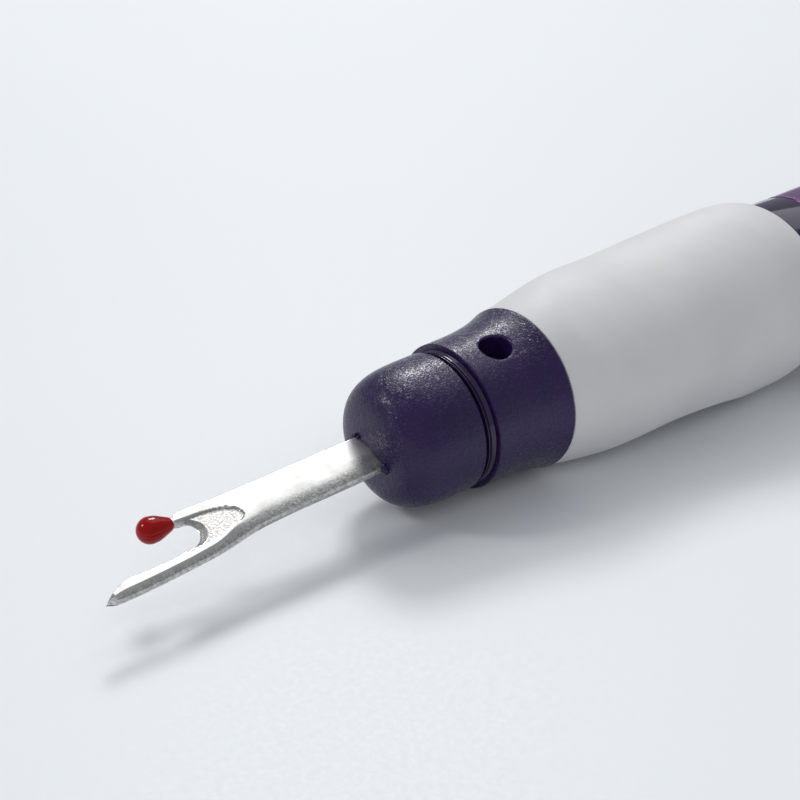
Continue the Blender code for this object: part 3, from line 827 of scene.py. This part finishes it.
def steel_look():
    """Polished spring steel: fine grinding marks along the blade, and dull specks.

    The rolled near edge is grainy, as is the coined pocket, which the mesh marks with its
    "coined" attribute. The rolled edge is also painted darker the lower it turns, a painted
    shade. The shank gets duller towards the nose.
    """
    look = Look("blade_steel", Base_Color=(0.80, 0.79, 0.77, 1), Metallic=1.0, Roughness=0.22)
    marks = look.noise(900, 4, 0.6, vector=look.stretched(0.35, 9, 9))
    specks = look.noise(9000, 3, 0.7)
    clouds = look.noise(600, 3, 0.5)
    grain = look.noise(4200, 3, 0.65)
    height = look.node("ShaderNodeSeparateXYZ", Vector=look.place).outputs["Z"]
    coined = look.node("ShaderNodeAttribute", {"attribute_name": "coined"}).outputs["Fac"]
    # Mask of the rolled edge, rising as the skin drops below the face: the colour under it is painted
    # shade as well as grain
    rolled = look.maths("MULTIPLY", look.remap(height, 0.00042, 0.00012),
                        look.maths("SUBTRACT", 1.0, coined))
    clean = look.tint(look.remap(clouds, 0.35, 0.7), (0.76, 0.75, 0.74), (0.62, 0.61, 0.59))
    # Colour of the rolled edge, darker than the clean face: partly its grain, partly painted shade
    # where the edge turns down
    grain_and_painted_shade = look.tint(look.remap(grain, 0.35, 0.65), (0.38, 0.37, 0.35), (0.72, 0.71, 0.69))
    struck = look.tint(look.remap(grain, 0.35, 0.65), (0.30, 0.29, 0.28), (0.56, 0.55, 0.53))
    look.give("Base Color", look.blend(coined, look.blend(rolled, clean, grain_and_painted_shade), struck))
    rough = look.maths("ADD", look.remap(marks, 0.3, 0.7, 0.12, 0.20),
                       look.remap(specks, 0.45, 0.75, 0.0, 0.10))
    rough = look.maths("ADD", rough, look.maths("MULTIPLY", rolled, 0.06))
    rough = look.maths("ADD", rough, look.maths("MULTIPLY", coined, 0.16))
    along = look.node("ShaderNodeSeparateXYZ", Vector=look.place).outputs["X"]
    smeared = look.maths("MULTIPLY", look.remap(along, -0.0112, -0.0080),
                         look.remap(clouds, 0.3, 0.6, 0.12, 0.34))
    look.give("Roughness", look.maths("ADD", rough, smeared))
    pitted = look.maths("MULTIPLY", look.maths("MAXIMUM", rolled, coined), grain)
    look.bump([(pitted, 0.00004, 0.6), (specks, 0.000006, 0.35), (marks, 0.000008, 0.30)])
    return look.material


def bead_look():
    """Glossy deep red, with a faint swirl."""
    look = Look("red_bead", Base_Color=(0.42, 0.004, 0.005, 1), Roughness=0.12, IOR=1.48,
                Specular_IOR_Level=0.26)
    swirl = look.noise(500, 3, 0.5)
    look.give("Base Color", look.tint(look.remap(swirl, 0.3, 0.7), (0.27, 0.001, 0.002),
                                      (0.36, 0.003, 0.004)))
    look.give("Roughness", look.remap(look.noise(1500, 2), 0.3, 0.7, 0.08, 0.18))
    look.bump([(look.noise(900, 2), 0.00002, 0.15)])
    return look.material


def grained_look():
    """Dark purple moulding with the fine wrinkled grain of a spark-eroded mould."""
    look = Look("grained_purple", Base_Color=(0.016, 0.007, 0.045, 1), Roughness=0.34, IOR=1.46,
                Specular_IOR_Level=0.46)
    bent = look.noise(2500, 2, 0.5)
    wrinkles = look.noise(1900, 1.2, 0.5, 1.6)
    pits = look.cells(5200)
    fold = look.maths("ABSOLUTE", look.maths("SUBTRACT", wrinkles, 0.5), 0.0)
    ridges = look.remap(fold, 0.0, 0.07, 1.0, 0.0)
    look.give("Base Color", look.tint(look.remap(look.noise(160, 3), 0.35, 0.7), (0.014, 0.005, 0.047),
                                      (0.022, 0.007, 0.064)))
    look.give("Roughness", look.remap(bent, 0.3, 0.7, 0.22, 0.33))
    look.bump([(ridges, 0.00004, 0.42), (pits, 0.00004, 0.25), (bent, 0.00008, 0.3)])
    return look.material


def glossy_look():
    """Smooth dark purple moulding with a little dust on it."""
    look = Look("glossy_purple", Base_Color=(0.018, 0.009, 0.040, 1), Roughness=0.10, IOR=1.5,
                Specular_IOR_Level=0.55)
    dust = look.noise(5200, 4, 0.7)
    look.give("Base Color", look.tint(look.remap(look.noise(120, 2), 0.3, 0.7), (0.015, 0.008, 0.036),
                                      (0.021, 0.011, 0.046)))
    look.give("Roughness", look.remap(dust, 0.5, 0.8, 0.07, 0.20))
    look.bump([(look.noise(260, 2), 0.00003, 0.15)])
    return look.material


def grip_look():
    """Soft white elastomer: a fine even tooth, faint clouds, and light that sinks in a little."""
    look = Look("white_grip", Base_Color=(0.62, 0.61, 0.62, 1), Roughness=0.55, IOR=1.46,
                Subsurface_Weight=0.25, Subsurface_Scale=0.0012, Sheen_Weight=0.15, Sheen_Roughness=0.5)
    look.shader.inputs["Subsurface Radius"].default_value = (1.0, 0.8, 0.8)
    tooth = look.noise(6000, 3, 0.6)
    clouds = look.noise(130, 3, 0.5)
    look.give("Base Color", look.tint(look.remap(clouds, 0.3, 0.7), (0.59, 0.58, 0.59),
                                      (0.64, 0.63, 0.64)))
    look.give("Roughness", look.remap(tooth, 0.3, 0.7, 0.50, 0.64))
    look.bump([(tooth, 0.00002, 0.30), (look.noise(1600, 2), 0.00002, 0.20)])
    return look.material


def barrel_look():
    """Tinted lilac plastic that light goes through, with faint flow lines."""
    look = Look("lilac_barrel", Base_Color=(0.58, 0.26, 0.70, 1), Roughness=0.06, IOR=1.5,
                Transmission_Weight=0.85)
    flow = look.noise(70, 3, 0.5, 0.6, vector=look.stretched(0.3, 1, 1))
    look.give("Base Color", look.tint(look.remap(flow, 0.3, 0.7), (0.54, 0.22, 0.66),
                                      (0.64, 0.31, 0.76)))
    look.give("Roughness", look.remap(look.noise(3000, 4, 0.7), 0.5, 0.85, 0.05, 0.22))
    look.bump([(look.noise(200, 2), 0.00003, 0.12)])
    return look.material


def cap_look():
    """Clear polystyrene with faint flow lines and fine handling scratches."""
    look = Look("clear_cap", Base_Color=(0.97, 0.98, 0.99, 1), Roughness=0.03, IOR=1.55,
                Transmission_Weight=1.0)
    scratches = look.noise(800, 4, 0.7, vector=look.stretched(6, 0.6, 6))
    look.give("Base Color", look.tint(look.noise(60, 2), (0.95, 0.97, 0.98), (0.98, 0.99, 1.0)))
    look.give("Roughness", look.remap(scratches, 0.55, 0.8, 0.02, 0.16))
    look.bump([(look.noise(150, 2), 0.00002, 0.10), (scratches, 0.000004, 0.15)])
    return look.material


def floor_look():
    """A pale, matt table top."""
    look = Look("pale_floor", Base_Color=(0.80, 0.82, 0.85, 1), Roughness=0.55, IOR=1.45)
    tooth = look.noise(1800, 3, 0.6)
    look.give("Base Color", look.tint(look.noise(9, 3), (0.745, 0.768, 0.795), (0.77, 0.79, 0.815)))
    look.give("Roughness", look.remap(tooth, 0.3, 0.7, 0.48, 0.62))
    look.bump([(tooth, 0.00002, 0.2)])
    return look.material


# ---------------------------------------------------------------- stage
def make_floor():
    form = bmesh.new()
    bmesh.ops.create_grid(form, x_segments=2, y_segments=2, size=3.0)
    mesh = bpy.data.meshes.new("floor")
    form.to_mesh(mesh)
    form.free()
    mesh.materials.append(floor_look())
    floor = bpy.data.objects.new("floor", mesh)
    floor.location.z = -0.00002
    bpy.context.scene.collection.objects.link(floor)


def make_light(name, place, target, size, power):
    data = bpy.data.lights.new(name, "AREA")
    data.shape = "RECTANGLE"
    data.size, data.size_y = size
    data.energy = power
    light = bpy.data.objects.new(name, data)
    light.location = place
    light.rotation_euler = (Vector(target) - Vector(place)).to_track_quat("-Z", "Y").to_euler()
    bpy.context.scene.collection.objects.link(light)
    return light


def make_world(colour, strength):
    world = bpy.data.worlds.new("studio")
    world.use_nodes = True
    back = world.node_tree.nodes["Background"]
    back.inputs["Color"].default_value = (*colour, 1.0)
    back.inputs["Strength"].default_value = strength
    bpy.context.scene.world = world


def make_camera():
    """A long lens close to the nose, looking down along the blade from its near side."""
    data = bpy.data.cameras.new("camera")
    data.lens = LENS
    data.sensor_width = 36.0
    data.clip_start = 0.005
    camera = bpy.data.objects.new("camera", data)
    camera.location = TOOL @ (Vector(CAMERA_PLACE) * MM)
    ahead = TOOL.to_3x3() @ Vector(CAMERA_AHEAD)
    camera.rotation_euler = ahead.to_track_quat("-Z", "Y").to_euler()
    bpy.context.scene.collection.objects.link(camera)
    bpy.context.scene.camera = camera


steel = steel_look()
grained = grained_look()
glossy = glossy_look()

make_camera()
make_floor()
make_world((0.90, 0.95, 1.0), 0.36)
make_light("ceiling_softbox", (0.60, 0.50, 1.15), (-0.05, 0.0, 0.01), (1.4, 1.2), 5.6)
make_light("rear_softbox", (0.44, 0.68, 0.83), (-0.05, 0.0, 0.01), (0.28, 0.28), 5.0)
make_light("left_softbox", (-0.86, 0.56, 0.78), (-0.05, 0.0, 0.01), (0.24, 0.24), 3.2)
fill = make_light("front_fill", (-0.70, -0.90, 0.90), (-0.02, 0.0, 0.01), (1.0, 1.0), 4.6)
fill.visible_glossy = False

make_blade(steel)
make_bead(bead_look())
make_nose(grained)
make_flash(grained)
make_ring(glossy)
make_collar(grained)
make_grip(grip_look())
make_handle(glossy)
make_barrel(barrel_look())
make_plug(grained)
make_cap(cap_look())
pin = frame["nodes"]["tang_pin"]
pin.data.materials.clear()
pin.data.materials.append(steel)

bpy.context.scene.view_settings.view_transform = "Standard"
